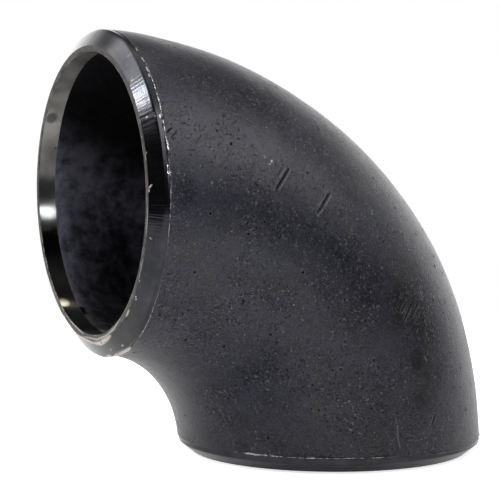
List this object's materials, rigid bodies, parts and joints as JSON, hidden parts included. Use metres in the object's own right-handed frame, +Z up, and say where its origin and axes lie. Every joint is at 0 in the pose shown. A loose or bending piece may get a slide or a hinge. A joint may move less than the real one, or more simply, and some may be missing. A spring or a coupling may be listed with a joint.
{
  "type": "pipe elbow",
  "caption": "Seamless steel 90 degree short-radius butt-weld pipe elbow with bored and bevelled weld ends.",
  "frame": {"origin": "centre of the lower weld face, on the axis of the lower end", "axes": "+Z up along the lower end's axis into the fitting, -X out of the mouth, y = 0 is the plane of the bend"},
  "size_m": [0.1206, 0.0888, 0.1206],
  "materials": {
    "black_steel": "thin satin black coat on pitted carbon steel, bare satin machined steel at the weld ends"
  },
  "bodies": {
    "root": {"elbow_body": "black_steel"}
  },
  "joints": []
}
